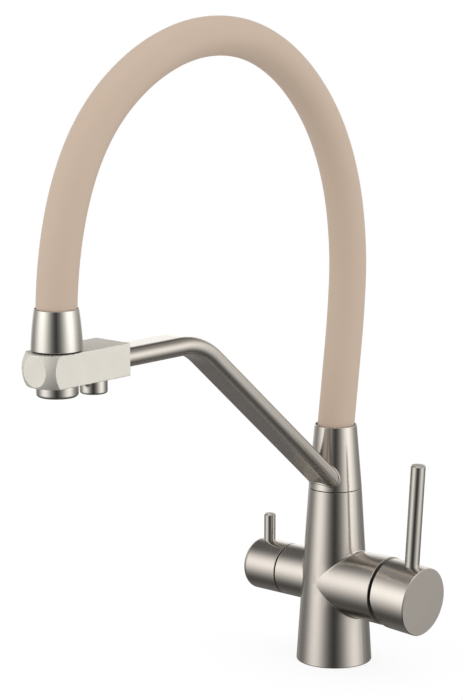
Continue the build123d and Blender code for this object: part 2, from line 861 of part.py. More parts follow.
def make_spout_hub():
    """Brass hub: spigot in the body, grooves for rings, the filtered water's groove and the stop groove."""
    hub = rod(Plane.XY, hub_spigot_radius, body_top - hub_spigot_length, body_top)
    hub += rod(Plane.XY, hub_radius, body_top, hub_top)
    outer = hub_radius + overrun
    groove = o_ring_thickness / 2 + o_ring_groove_play
    for height in o_ring_heights():
        hub -= ring(Plane.XY, hub_radius - o_ring_thickness, outer, height - groove, height + groove)
    half = filter_groove_width / 2
    hub -= ring(
        Plane.XY, filter_groove_radius, outer, filter_port_height - half, filter_port_height + half
    )
    ring_bottom = upper_ring_top - upper_ring_width
    hub -= ring(Plane.XY, hub_radius - upper_ring_thickness, outer, ring_bottom, upper_ring_top)
    hub -= stop_groove()
    hub -= rod(Plane.XY, riser_radius, body_top - hub_spigot_length - overrun, hub_top + overrun)
    return hub - rod(
        Plane.XY,
        hub_passage_radius,
        body_top - hub_spigot_length - overrun,
        filter_port_height,
        x=-hub_passage_offset,
    )


def stop_groove():
    """Groove in which the retaining screw runs, left uncut at the front so that it ends the turn."""
    half = stop_groove_width / 2
    groove = ring(
        Plane.XY,
        hub_radius - stop_groove_depth,
        hub_radius + overrun,
        stop_groove_height - half,
        stop_groove_height + half,
    )
    rib = Box(stop_rib_width, hub_radius + overrun, stop_groove_width, align=(Align.CENTER, Align.MAX))
    return groove - Pos(0, 0, stop_groove_height) * rib


def make_spout_o_rings():
    """Rubber rings that keep the two waters apart in the turning joint."""
    rings = [o_ring(hub_radius, o_ring_thickness, height) for height in o_ring_heights()]
    return Compound(children=rings)


def make_lower_glide_ring():
    """Plastic washer on which the upper column turns."""
    outer = hub_radius + glide_ring_width
    return ring(Plane.XY, hub_radius, outer, body_top, body_top + glide_ring_thickness)


def make_upper_glide_ring():
    """Plastic ring that centres the upper column on the hub's top."""
    inner = hub_radius - upper_ring_thickness
    return ring(Plane.XY, inner, hub_radius, upper_ring_top - upper_ring_width, upper_ring_top)


# Upper column


def make_swivel_column():
    """Upper column: cone with its thin rim, hub bore, web and the port to the arm."""
    column = turned(
        [(0, column_bottom), (seam_radius, column_bottom), (rim_radius, rim_height), (0, rim_height)],
        rounded=[(1, seam_bevel), (2, rim_wall * rim_lip_share)],
    )
    column -= rod(Plane.XY, column_bore_radius, column_bottom - overrun, web_bottom)
    glide_outer = hub_radius + glide_ring_width + bearing_gap
    glide_top = body_top + glide_ring_thickness + face_gap
    column -= rod(Plane.XY, glide_outer, column_bottom - overrun, glide_top)
    column -= rod(Plane.XY, web_hole_radius, web_bottom - overrun, web_top + overrun)
    column -= rod(Plane.XY, rim_radius - rim_wall, web_top, rim_height + overrun)
    column -= rod(retaining_plane(), stop_screw_radius, 0, seam_radius + overrun)
    return column - arm_port(filter_tube_bore_radius) - filter_tube_solid(filter_tube_radius)


def arm_point(from_axis):
    """Point on the straight lower run of the arm's centre line, at a distance in front of the axis."""
    rise = (from_axis - column_bore_radius) * math.tan(arm_slope)
    return (0, -from_axis, filter_port_height + rise)


def arm_port(radius):
    """Hole from the column's bore to the foot of the filtered water tube."""
    return drill(arm_point(0), arm_point(seam_radius), radius)


def retaining_plane():
    """Plane on the axis at the stop groove's height, facing backwards."""
    return Plane(origin=(0, 0, stop_groove_height), x_dir=(1, 0, 0), z_dir=(0, 1, 0))


def make_retaining_screw():
    """Screw at the back of the upper column whose tip runs in the hub's groove."""
    plane = retaining_plane()
    face = column_radius(stop_groove_height) - moving_gap
    tip_start = hub_radius - stop_screw_tip_length + moving_gap
    screw = rod(plane, stop_screw_radius, column_bore_radius, face)
    screw += rod(plane, stop_screw_tip_radius, tip_start, face)
    return screw - key_socket(plane, stop_screw_key, face, stop_screw_key_depth)


# Spout arm


def arm_line(start_from_axis, end_from_axis):
    """The arm's centre line: a straight slope, one bend and a level run."""
    return FilletPolyline(
        arm_point(start_from_axis),
        (0, -arm_bend_from_axis, arm_height),
        (0, -end_from_axis, arm_height),
        radius=arm_bend_radius,
    )


def swept(line, section):
    """Section carried along a line, its width staying along X."""
    start = Plane(origin=line @ 0, x_dir=(1, 0, 0), z_dir=line % 0)
    return sweep(start * section, path=line)


def column_envelope():
    """The column's outer form about the arm's foot, used to cut what butts against it."""
    return turned(
        [
            (0, handle_height),
            (seam_radius, handle_height),
            (seam_radius, column_bottom),
            (rim_radius, rim_height),
            (0, rim_height),
        ]
    )


def make_spout_arm():
    """Flattened tube from the column to the outlet block, mitred to the cone."""
    line = arm_line(0, block_end + arm_socket_depth)
    arm = swept(line, SlotOverall(arm_width, arm_thickness))
    arm -= swept(line, SlotOverall(arm_width - 2 * arm_wall, arm_thickness - 2 * arm_wall))
    return arm - column_envelope()


def filter_tube_solid(radius):
    """Bar along the arm's centre line, from a seat in the column's wall into the outlet block."""
    line = arm_line(column_bore_radius + filter_tube_seat, filter_outlet_reach - filter_outlet_bore_radius)
    return swept(line, Circle(radius))


def make_filter_water_tube():
    """Plastic tube that keeps the filtered water apart inside the arm."""
    return filter_tube_solid(filter_tube_radius) - filter_tube_solid(filter_tube_bore_radius)


# Outlet block


def make_outlet_block():
    """Square bar with a ball-shaped nose, bored for the head and for the filtered water outlet."""
    section = Plane(origin=(0, -block_end, block_middle), x_dir=(1, 0, 0), z_dir=(0, -1, 0))
    block = extrude(section * Rectangle(block_width, block_height), amount=block_length_behind + nose_flat)
    block &= nose_envelope()
    block = fillet(block.edges(), block_edge_radius)
    block -= rod(Plane.XY, dock_bore_radius, block_bottom - overrun, block_top + overrun, y=-reach)
    block -= rod(
        Plane.XY,
        filter_outlet_thread_radius,
        block_bottom - overrun,
        block_bottom + filter_outlet_thread_length,
        y=-filter_outlet_reach,
    )
    block -= rod(
        Plane.XY,
        filter_outlet_bore_radius,
        block_bottom,
        arm_height + filter_tube_radius,
        y=-filter_outlet_reach,
    )
    socket = Plane(origin=(0, -block_end, arm_height), x_dir=(1, 0, 0), z_dir=(0, -1, 0))
    block -= extrude(socket * SlotOverall(arm_width, arm_thickness), amount=arm_socket_depth)
    return block - filter_tube_solid(filter_tube_radius)


def nose_envelope():
    """Ball about the head's axis, drawn out backwards as a round bar past the block's end."""
    ball = Pos(0, -reach, block_middle) * Sphere(nose_radius)
    middle = Plane(origin=(0, -reach, block_middle), x_dir=(1, 0, 0), z_dir=(0, 1, 0))
    return ball + rod(middle, nose_radius, 0, block_length_behind + overrun)


def make_dock_ring():
    """Black ring on the block's top, on which the head's collar rests."""
    return ring(
        Plane.XY,
        dock_ring_inner_radius,
        dock_ring_outer_radius,
        block_top,
        block_top + dock_ring_thickness,
        y=-reach,
    )


def outlet_housing(y, radius, bore, bottom, top, edge):
    """Turned outlet shell with a rounded lower edge."""
    plane = Plane(origin=(0, y, 0), z_dir=(0, 0, 1))
    shell = turned([(0, bottom), (radius, bottom), (radius, top), (0, top)], plane, rounded=[(1, edge)])
    return shell - rod(Plane.XY, bore, bottom - overrun, top + overrun, y=y)


def honeycomb(y, radius, bottom, top, rings):
    """Round insert with hexagonal cells in rings about the middle one."""
    insert = rod(Plane.XY, radius, bottom, top, y=y)
    pitch = cell_across + cell_wall
    cell = RegularPolygon(cell_across / 2, 6, major_radius=False)
    cells = [Pos(0, y) * cell]
    for ring_number in range(1, rings + 1):
        for side in range(6):
            corner = Vector(pitch * ring_number, 0).rotate(Axis.Z, 60 * side + 30)
            step = Vector(pitch, 0).rotate(Axis.Z, 60 * side + 150)
            for place in range(ring_number):
                centre = corner + step * place
                cells.append(Pos(centre.X, y + centre.Y) * cell)
    depth = top - bottom + 2 * overrun
    return insert - extrude(Plane.XY.offset(bottom - overrun) * Sketch(children=cells), amount=depth)


def make_filter_outlet_housing():
    """Housing of the filtered water outlet, screwed into the block."""
    housing = outlet_housing(
        -filter_outlet_reach,
        filter_outlet_radius,
        filter_outlet_bore_radius,
        filter_outlet_bottom,
        block_bottom,
        filter_outlet_edge_radius,
    )
    return housing + ring(
        Plane.XY,
        filter_outlet_bore_radius,
        filter_outlet_thread_radius,
        block_bottom,
        block_bottom + filter_outlet_thread_length,
        y=-filter_outlet_reach,
    )


def make_filter_outlet_insert():
    """Honeycomb that calms the filtered water."""
    bottom = filter_outlet_bottom + insert_recess
    return honeycomb(-filter_outlet_reach, filter_outlet_bore_radius, bottom, bottom + insert_thickness, 1)


def make_filter_outlet_seal():
    """Rubber ring on top of the filtered water's honeycomb."""
    bottom = filter_outlet_bottom + insert_recess + insert_thickness
    inner = filter_outlet_bore_radius - insert_seal_width
    top = bottom + insert_seal_thickness
    return ring(Plane.XY, inner, filter_outlet_bore_radius, bottom, top, y=-filter_outlet_reach)


# Head


def make_main_outlet_housing():
    """Housing of the main outlet, at the foot of the head."""
    return outlet_housing(
        -reach,
        head_radius,
        head_radius - aerator_wall,
        head_bottom,
        head_bottom + aerator_length,
        head_edge_radius,
    )


def make_main_outlet_insert():
    """Honeycomb that calms the mixed water."""
    bottom = head_bottom + insert_recess
    return honeycomb(-reach, head_radius - aerator_wall, bottom, bottom + insert_thickness, 2)


def make_main_outlet_seal():
    """Rubber ring on top of the main outlet's honeycomb."""
    outer = head_radius - aerator_wall
    bottom = head_bottom + insert_recess + insert_thickness
    top = bottom + insert_seal_thickness
    return ring(Plane.XY, outer - insert_seal_width, outer, bottom, top, y=-reach)


def make_head_barrel():
    """Brass barrel that stands in the block and carries the outlet below and the hose end above."""
    bottom = head_bottom + aerator_length
    barrel = rod(Plane.XY, head_radius, bottom, collar_bottom, y=-reach)
    barrel += rod(Plane.XY, barrel_neck_radius, bottom, barrel_top, y=-reach)
    return barrel - rod(Plane.XY, barrel_bore_radius, bottom - overrun, barrel_top + overrun, y=-reach)


def make_hose_collar():
    """Collar over the hose end: slightly barrel-shaped, tapering towards the hose."""
    middle_radius = (collar_bottom_radius + collar_top_radius) / 2 + collar_bulge
    middle = (middle_radius, (collar_bottom + collar_top) / 2)
    side = ThreePointArc((collar_bottom_radius, collar_bottom), middle, (collar_top_radius, collar_top))
    rest = Polyline(side @ 1, (0, collar_top), (0, collar_bottom), side @ 0)
    face = make_face([side, rest])
    corners = face.vertices().sort_by(Axis.X)[-2:]
    face = fillet(corners, collar_edge_radius)
    collar = Pos(0, -reach) * revolve(Plane.XZ * face, Axis.Z)
    socket_radius = collar_top_radius - collar_wall
    floor = collar_bottom + collar_floor_thickness
    collar -= rod(Plane.XY, socket_radius, floor, collar_top + overrun, y=-reach)
    return collar - rod(Plane.XY, barrel_neck_radius, collar_bottom - overrun, collar_top, y=-reach)


# Hose


def route_point(place):
    """Point of the hose's centre line in space."""
    return Vector(0, place[0], web_top + place[1])


def route_radii():
    """Radius of the arc at each corner of the route, as large as the two runs beside it allow."""
    points = [route_point(place) for place in hose_route]
    radii = []
    for before, corner, after in zip(points, points[1:], points[2:]):
        half_turn = math.radians((corner - before).get_angle(after - corner)) / 2
        shorter = min((corner - before).length, (after - corner).length)
        radii.append(run_share * shorter / math.tan(half_turn))
    return radii


def hose_line(start_inset, end_inset):
    """The hose's centre line, begun and ended a little way along its first and last runs."""
    points = [route_point(place) for place in hose_route]
    points[0] += (points[1] - points[0]).normalized() * start_inset
    points[-1] += (points[-2] - points[-1]).normalized() * end_inset
    return FilletPolyline(*points, radius=route_radii())


def hose_tube(outer, bore, inset):
    """Tube along the hose's centre line."""
    line = hose_line(inset, inset)
    return swept(line, Circle(outer)) - swept(line, Circle(bore))


def make_hose_sleeve():
    """Silicone sleeve, the part of the hose that shows."""
    return hose_tube(hose_radius, hose_bore_radius, 0)


def make_hose_core():
    """Bendable metal core that keeps the sleeve's arch."""
    return hose_tube(core_radius, core_bore_radius, nipple_length + moving_gap)


def make_water_hose():
    """Water hose inside the core, from one nipple to the other."""
    return hose_tube(water_hose_radius, water_hose_bore_radius, moving_gap)


def barbed_nipple(plane):
    """Barbed nipple and flange on a plane at the end of the sleeve, pointing into it."""
    step = nipple_length / nipple_barbs
    outline = [(0, 0), (nipple_radius, 0)]
    for number in range(nipple_barbs):
        outline.append((nipple_radius, step * number + step / 2))
        outline.append((nipple_radius - nipple_barb_depth, step * (number + 1)))
        if number + 1 < nipple_barbs:
            outline.append((nipple_radius, step * (number + 1)))
    outline.append((0, nipple_length))
    nipple = turned(outline, plane)
    nipple += rod(plane, nipple_flange_radius, -nipple_flange_thickness, 0)
    return nipple - rod(plane, water_hose_radius, 0, nipple_length + overrun)


def make_top_nipple():
    """Nipple in the upper column, angled as the hose leaves it."""
    first, second = route_point(hose_route[0]), route_point(hose_route[1])
    start = Plane(origin=first, x_dir=(1, 0, 0), z_dir=second - first)
    nipple = barbed_nipple(start)
    nipple += rod(Plane.XY, web_hole_radius, web_bottom, first.Z)
    nipple -= rod(start, water_hose_radius, 0, nipple_length + overrun)
    return nipple - drill((0, 0, web_bottom - overrun), first, water_hose_bore_radius)


def make_head_nipple():
    """Nipple in the head, on which the hose ends."""
    last, before = route_point(hose_route[-1]), route_point(hose_route[-2])
    end = Plane(origin=last, x_dir=(1, 0, 0), z_dir=before - last)
    nipple = barbed_nipple(end)
    nipple += rod(Plane.XY, barrel_neck_radius, barrel_top, last.Z, y=-reach)
    nipple += rod(Plane.XY, barrel_bore_radius, barrel_top - collar_floor_thickness, barrel_top, y=-reach)
    nipple -= rod(end, water_hose_radius, 0, nipple_length + overrun)
    return nipple - rod(Plane.XY, water_hose_bore_radius, collar_bottom, last.Z + overrun, y=-reach)


makers = {
    "body": make_body,
    "base_seal": make_base_seal,
    "cartridge_seals": make_cartridge_seals,
    "cartridge_base": make_cartridge_base,
    "cartridge_shell": make_cartridge_shell,
    "cartridge_fixed_disc": make_fixed_disc,
    "cartridge_moving_disc": make_moving_disc,
    "cartridge_disc_coupler": make_disc_coupler,
    "cartridge_carrier": make_carrier,
    "cartridge_cross_pin": lambda: cross_pin(cross_pin_radius),
    "cartridge_stem": make_stem,
    "cartridge_nut": make_cartridge_nut,
    "cartridge_cover": make_cartridge_cover,
    "handle_hub": make_handle_hub,
    "lever_rod": make_lever_rod,
    "handle_set_screw": make_handle_screw,
    "filter_valve_body": make_filter_valve_body,
    "filter_valve_seal": make_filter_valve_seal,
    "filter_fixed_disc": make_filter_fixed_disc,
    "filter_moving_disc": make_filter_moving_disc,
    "filter_spindle": make_filter_spindle,
    "filter_knob_ring": make_filter_knob_ring,
    "filter_knob": make_filter_knob,
    "filter_pin": make_filter_pin,
    "filter_knob_screw": make_filter_knob_screw,
    "spout_hub": make_spout_hub,
    "spout_o_rings": make_spout_o_rings,
    "lower_glide_ring": make_lower_glide_ring,
    "upper_glide_ring": make_upper_glide_ring,
    "swivel_column": make_swivel_column,
    "spout_retaining_screw": make_retaining_screw,
    "spout_arm": make_spout_arm,
    "filter_water_tube": make_filter_water_tube,
    "outlet_block": make_outlet_block,
    "dock_ring": make_dock_ring,
    "filter_outlet_housing": make_filter_outlet_housing,
    "filter_outlet_insert": make_filter_outlet_insert,
    "filter_outlet_seal": make_filter_outlet_seal,
    "main_outlet_housing": make_main_outlet_housing,
    "main_outlet_insert": make_main_outlet_insert,
    "main_outlet_seal": make_main_outlet_seal,
    "head_barrel": make_head_barrel,
    "hose_collar": make_hose_collar,
    "hose_sleeve": make_hose_sleeve,
    "hose_core": make_hose_core,
    "water_hose": make_water_hose,
    "hose_top_nipple": make_top_nipple,
    "hose_head_nipple": make_head_nipple,
}

os.makedirs("parts", exist_ok=True)
print("hose arc radii", [round(radius, 1) for radius in route_radii()])
print("hose length", round(hose_line(0, 0).length, 1))
for name, maker in makers.items():
    export_step(maker(), f"parts/{name}.step")
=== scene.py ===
# %% [markdown]
# # A kitchen tap for mixed and filtered water
#
# This script gives every piece its finish, makes the soft hose and the weld seam as surfaces worked out
# with numpy, and sets up the camera and the studio. All lengths are metres, +Z is up and the spout points
# along -Y.

# %% The frame
import json
import math

import bmesh
import bpy
import numpy as np
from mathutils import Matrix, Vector


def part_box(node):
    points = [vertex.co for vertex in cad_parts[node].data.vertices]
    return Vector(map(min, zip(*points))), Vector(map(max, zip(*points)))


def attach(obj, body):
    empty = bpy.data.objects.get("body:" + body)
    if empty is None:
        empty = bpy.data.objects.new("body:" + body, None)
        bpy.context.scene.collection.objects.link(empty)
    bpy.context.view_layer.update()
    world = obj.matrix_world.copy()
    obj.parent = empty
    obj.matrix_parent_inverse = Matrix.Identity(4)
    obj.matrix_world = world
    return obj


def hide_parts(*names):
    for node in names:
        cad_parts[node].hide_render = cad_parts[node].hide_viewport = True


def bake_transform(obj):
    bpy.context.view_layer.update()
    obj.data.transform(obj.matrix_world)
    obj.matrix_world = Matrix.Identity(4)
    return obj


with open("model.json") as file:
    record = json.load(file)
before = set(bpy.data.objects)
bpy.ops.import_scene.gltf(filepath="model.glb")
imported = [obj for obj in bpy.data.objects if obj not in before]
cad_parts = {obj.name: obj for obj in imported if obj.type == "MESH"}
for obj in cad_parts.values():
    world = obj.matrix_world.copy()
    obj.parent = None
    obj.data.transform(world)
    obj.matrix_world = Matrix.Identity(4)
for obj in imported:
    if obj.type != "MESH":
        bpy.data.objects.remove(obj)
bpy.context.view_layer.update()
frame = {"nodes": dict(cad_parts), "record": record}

mm = 0.001
centimetre = 10 * mm

# %% [markdown]
# ## The camera
#
# A product photo of a tall thing is taken with a long lens, from a little above, so that upright edges
# stay almost parallel. The place and the lens below were solved from the tap's own circles and edges as
# they lie in a picture of 463 x 700 pixels. The sensor's 36 mm belong to the longer side.

# %% Camera
camera_azimuth = math.radians(41.25)
camera_pitch = math.radians(10.4)
camera_data = bpy.data.cameras.new("studio_camera")
camera_data.sensor_width = 36.0
camera_data.lens = 129.07
camera_data.clip_start = 0.05
camera = bpy.data.objects.new("studio_camera", camera_data)
camera.location = (1.0489, -1.3036, 0.5234)
camera.rotation_euler = (math.pi / 2 - camera_pitch, 0, camera_azimuth)
bpy.context.scene.collection.objects.link(camera)
bpy.context.scene.camera = camera
print("camera stands", round(camera.location.length, 3), "m from the tap's foot")

# %% [markdown]
# ## The hose's line
#
# The hose is a silicone sleeve over a bendable metal core, so it stands as a springy arch from the
# column's top to the head. Such a line could be drawn by hand as a Bezier curve. A NURBS line of order 3 is
# simpler, because it bends towards each control point with no handles to set, and its direction never
# jumps. The points are those of the solid model, and Blender turns the line into close points that the
# surface then follows.

# %% Route and line
hose_radius = 12.5 * mm
well_depth = 11.5 * mm
web_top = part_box("swivel_column")[1].z - well_depth
hose_route = [
    (-0.7, 3.5),
    (4.5, 42.5),
    (10.5, 88.5),
    (12.5, 131.0),
    (4.5, 179.0),
    (-16.0, 222.0),
    (-50.5, 257.5),
    (-93.0, 278.0),
    (-141.5, 280.5),
    (-188.0, 266.0),
    (-227.5, 237.5),
    (-252.5, 198.0),
    (-265.5, 145.0),
    (-265.5, 116.0),
]


def nurbs_line(name, points, resolution):
    """Points along the NURBS line of order 3 whose control points are given, both ends included."""
    curve = bpy.data.curves.new(name, "CURVE")
    curve.dimensions = "3D"
    curve.resolution_u = resolution
    spline = curve.splines.new("NURBS")
    spline.points.add(len(points) - 1)
    for point, place in zip(spline.points, points):
        point.co = (*place, 1)
    spline.order_u = 3
    spline.use_endpoint_u = True
    holder = bpy.data.objects.new(name, curve)
    mesh = bpy.data.meshes.new_from_object(holder)
    line = np.empty(len(mesh.vertices) * 3)
    mesh.vertices.foreach_get("co", line)
    bpy.data.objects.remove(holder)
    bpy.data.meshes.remove(mesh)
    return line.reshape(-1, 3)


hose_points = [(0, y * mm, web_top + rise * mm) for y, rise in hose_route]
hose_line = nurbs_line("hose_line", hose_points, resolution=16)
hose_steps = np.linalg.norm(np.diff(hose_line, axis=0), axis=1)

# %% [markdown]
# ## Surfaces from grids of points
#
# A tube, a seam and the ball of the light tent are all grids of two parameters: how far along, and how far
# round. A grid can close round, as a tube does, and along, as a ring does. The volume that a closed
# surface holds is printed, and it is positive only where the faces point outwards.

# %% Grid surfaces


def grid_mesh(name, points, closed_along=False, caps=False):
    """Mesh over a grid of points with the shape (along, round, 3), closed round.

    Each quad joins neighbours in both directions. With closed_along the last ring joins the first one.
    With caps each end gets a middle point and a fan.
    """
    along, around = points.shape[:2]
    index = np.arange(along * around).reshape(along, around)
    rows = np.vstack([index, index[:1]]) if closed_along else index
    cells = np.hstack([rows, rows[:, :1]])
    quads = np.stack([cells[:-1, :-1], cells[:-1, 1:], cells[1:, 1:], cells[1:, :-1]], axis=-1)
    faces = quads.reshape(-1, 4).tolist()
    vertices = points.reshape(-1, 3)
    if caps:
        middles = np.array([points[0].mean(axis=0), points[-1].mean(axis=0)])
        first = np.full(around, len(vertices))
        vertices = np.vstack([vertices, middles])
        faces += np.stack([cells[0, 1:], cells[0, :-1], first], axis=-1).tolist()
        faces += np.stack([cells[-1, :-1], cells[-1, 1:], first + 1], axis=-1).tolist()
    mesh = bpy.data.meshes.new(name)
    mesh.from_pydata(vertices.tolist(), [], faces)
    mesh.polygons.foreach_set("use_smooth", np.ones(len(mesh.polygons), dtype=bool))
    mesh.update()
    piece = bpy.data.objects.new(name, mesh)
    bpy.context.scene.collection.objects.link(piece)
    return piece


def report_volume(piece):
    """Prints how many faces a closed piece has and the volume inside, in cubic centimetres."""
    shape = bmesh.new()
    shape.from_mesh(piece.data)
    volume = shape.calc_volume(signed=True) / centimetre**3
    print(piece.name, "has", len(shape.faces), "faces round", round(volume, 2), "cubic centimetres")
    shape.free()


# %% [markdown]
# ## The hose
#
# At each point of the line the tube needs two side directions that turn with the line and never flip. This
# line stays in a plane, so one of them is simply +X, and the other is square to it and to the line's
# direction.
#
# The sleeve bends when the head is lifted out, and its fine skin has to bend with it. So each point also
# keeps its place on the straight sleeve as it came from the mould, and the material reads that place. A
# curve with a round bevel would give the same tube, but only a mesh can keep such a place.

# %% Hose
round_steps = 64
side = np.array([1.0, 0.0, 0.0])
angle = np.linspace(0, 2 * np.pi, round_steps, endpoint=False)
tangent = np.gradient(hose_line, axis=0)
tangent /= np.linalg.norm(tangent, axis=1, keepdims=True)
across = np.cross(tangent, side)
ring = np.cos(angle)[None, :, None] * side + np.sin(angle)[None, :, None] * across[:, None, :]
hose = grid_mesh("silicone_hose", hose_line[:, None, :] + hose_radius * ring, caps=True)
report_volume(hose)

distance = np.concatenate([[0.0], np.cumsum(hose_steps)])
straight = np.empty((len(hose_line), round_steps, 3))
straight[..., 0] = distance[:, None]
straight[..., 1] = hose_radius * np.cos(angle)
straight[..., 2] = hose_radius * np.sin(angle)
cap_middles = np.array([[0.0, 0.0, 0.0], [distance[-1], 0.0, 0.0]])
places = np.vstack([straight.reshape(-1, 3), cap_middles]).astype(np.float32)
place = hose.data.attributes.new("straight_place", "FLOAT_VECTOR", "POINT")
place.data.foreach_set("vector", places.ravel())
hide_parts("hose_sleeve", "hose_core", "water_hose")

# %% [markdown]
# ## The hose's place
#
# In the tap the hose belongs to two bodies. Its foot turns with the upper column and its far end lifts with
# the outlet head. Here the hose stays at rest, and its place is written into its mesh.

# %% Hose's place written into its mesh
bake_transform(hose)

# %% [markdown]
# ## The weld between arm and column
#
# The flattened arm is mitred to the cone and welded, and the seam is ground to a small smooth fillet. In
# the picture it shows as a thin bright line round the arm's root. A bevel on the two joined pieces would
# give such a fillet, but they come as separate solids, so a thin ring lies over the corner between them.
# Its path is where the arm's outline, carried along the arm's slope, meets the cone, which is worked out
# exactly: each outline point gives a straight line, and the line meets the cone where a quadratic
# equation is zero.

# %% The arm's measures, read from the frame where it shows them
seam_height, seam_radius = 121.6 * mm, 18.2 * mm
rim_height, rim_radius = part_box("swivel_column")[1].z, 14.4 * mm
arm_half_thickness = 6.0 * mm
arm_half_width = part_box("spout_arm")[1].x
arm_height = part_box("spout_arm")[1].z - arm_half_thickness
arm_level_run = 71.0 * mm
arm_bend_radius = 50.0 * mm
arm_corner = -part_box("outlet_block")[1].y - arm_level_run
port_from_axis, port_height = 12.25 * mm, 130.2 * mm
arm_slope = math.atan2(arm_height - port_height, arm_corner - port_from_axis)
print("the arm rises at", round(math.degrees(arm_slope), 1), "degrees")

# %% Weld seam
weld_radius = 0.75 * mm
weld_steps, weld_round_steps = 144, 14


def slot_outline(half_width, half_thickness, steps):
    """Points (across, up) of a flat oval: two half circles joined by straight sides, evenly spaced.

    The distance walked goes along the top, round the right end, back along the bottom and round the left.
    On an end, across and up are the sine and cosine of the turn, times the half thickness.
    """
    straight = 2 * (half_width - half_thickness)
    arc = math.pi * half_thickness
    distance = np.linspace(0, 2 * (straight + arc), steps, endpoint=False)
    reach = half_width - half_thickness
    turn = (distance - straight) / half_thickness
    back_turn = (distance - 2 * straight - arc) / half_thickness
    parts = [distance < straight, distance < straight + arc, distance < 2 * straight + arc]
    x = np.select(
        parts,
        [distance - reach, reach + half_thickness * np.sin(turn), straight + arc + reach - distance],
        -reach - half_thickness * np.sin(back_turn),
    )
    up = np.select(
        parts,
        [half_thickness + 0 * distance, half_thickness * np.cos(turn), -half_thickness + 0 * distance],
        -half_thickness * np.cos(back_turn),
    )
    return np.stack([x, up], axis=-1)


arm_direction = np.array([0.0, -math.cos(arm_slope), math.sin(arm_slope)])
arm_up = np.array([0.0, math.sin(arm_slope), math.cos(arm_slope)])
outline = slot_outline(arm_half_width, arm_half_thickness, weld_steps)
arm_port = np.array([0.0, -port_from_axis, port_height])
origins = arm_port + outline[:, :1] * side + outline[:, 1:] * arm_up
# A point of the line is origin + t * direction. On the cone, x squared + y squared = (a + b * z) squared.
cone_b = (rim_radius - seam_radius) / (rim_height - seam_height)
cone_a = seam_radius - cone_b * seam_height
radius_at_origin = cone_a + cone_b * origins[:, 2]
radius_rate = cone_b * arm_direction[2]
square_term = arm_direction[1] ** 2 - radius_rate**2
half_linear_term = origins[:, 1] * arm_direction[1] - radius_at_origin * radius_rate
constant_term = origins[:, 0] ** 2 + origins[:, 1] ** 2 - radius_at_origin**2
root = np.sqrt(np.maximum(half_linear_term**2 - square_term * constant_term, 0))
weld_line = origins + ((root - half_linear_term) / square_term)[:, None] * arm_direction
weld_tangent = np.roll(weld_line, -1, axis=0) - np.roll(weld_line, 1, axis=0)
weld_tangent /= np.linalg.norm(weld_tangent, axis=1, keepdims=True)
weld_side = np.cross(weld_tangent, np.broadcast_to(arm_direction, weld_tangent.shape))
weld_side /= np.linalg.norm(weld_side, axis=1, keepdims=True)
weld_out = np.cross(weld_tangent, weld_side)
weld_angle = np.linspace(0, 2 * np.pi, weld_round_steps, endpoint=False)
weld_ring = weld_radius * (
    np.cos(weld_angle)[None, :, None] * weld_side[:, None, :]
    + np.sin(weld_angle)[None, :, None] * weld_out[:, None, :]
)
weld = grid_mesh("arm_weld", weld_line[:, None, :] + weld_ring, closed_along=True)
report_volume(weld)
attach(weld, "spout")
print("weld seam from z", round(weld_line[:, 2].min(), 4), "to", round(weld_line[:, 2].max(), 4))

# %% [markdown]
# ## Finishes
#
# Each material starts from the real one and how its surface was made. Colours are written as sRGB hex
# values and turned to linear light once. One function adds a node with its settings and links.
#
# A Mix node has a pair of inputs for each kind of value, all named A and B, so they are found by number.
# More detail in a noise adds finer noise on top.

# %% Colour and node helpers
vector_a, vector_b, mixed_vector = 4, 5, 1
colour_a, colour_b, mixed_colour = 6, 7, 2
soft_detail, fine_detail = 2.0, 3.0
white = (1, 1, 1, 1)
byte_top = 255
dark_limit, dark_slope, curve_offset, curve_power = 0.04045, 12.92, 0.055, 2.4


def linear(hex_colour, share=1.0):
    """Linear RGBA of an sRGB hex colour, times a share of its light.

    Up to the dark limit a channel is divided by the slope. Above it, the linear value is
    (channel + offset) / (1 + offset), raised to the curve's power.
    """
    channels = np.array(list(bytes.fromhex(hex_colour))) / byte_top
    bright = ((channels + curve_offset) / (1 + curve_offset)) ** curve_power
    light = np.where(channels <= dark_limit, channels / dark_slope, bright)
    return (*(share * light).tolist(), 1.0)


def add_node(tree, kind, inputs=None, **settings):
    """Adds a node with its settings. Its inputs are values or sockets, by the input's name or number."""
    node = tree.nodes.new(kind)
    for name, value in settings.items():
        setattr(node, name, value)
    for name, value in (inputs or {}).items():
        socket = node.inputs[name]
        if isinstance(value, bpy.types.NodeSocket):
            tree.links.new(value, socket)
        else:
            socket.default_value = value
    return node


def start_material(name):
    """New material with an empty tree."""
    material = bpy.data.materials.new(name)
    material.use_nodes = True
    material.node_tree.nodes.clear()
    return material, material.node_tree


def end_material(tree, shader):
    """Puts the shader's output on the surface."""
    add_node(tree, "ShaderNodeOutputMaterial", {"Surface": shader.outputs[0]})


# %% [markdown]
# ## Brushed nickel
#
# The column, arm and handle are brass castings and tubes, nickel plated and then brushed with a fine
# abrasive belt. The belt leaves parallel hair lines, which on a turned piece run round its axis. Light
# spreads across the lines and hardly along them, so each reflection is drawn out along the axis and stays
# crisp around it. The shader's anisotropy does that, with the tangent set to the axis. The lines
# themselves are about 0.05 mm wide, too fine for the picture, so they are drawn 0.8 mm wide and faint.
# Nickel is a slightly warm grey.
#
# The lines could come from a picture of scratches wrapped round each piece, which shows where its edges
# meet. Noise that is squeezed along the axis has no such edge, and its scale is a real size.
#
# A face square to the axis, such as the lever's tip, was only faced on the lathe. It is rougher than the
# sides, which shows as a duller, even tone.

# %% Brushed nickel
line_width = 0.8 * mm
line_length = 25 * mm
cloud_size = 35 * mm
gloss_change = 0.02
dull_share = 0.95
brushed_roughness, ground_roughness, end_roughness = 0.21, 0.11, 0.45
end_start, end_full = 0.93, 0.98
print("hair lines are", round(line_length / line_width), "times as long as they are wide")


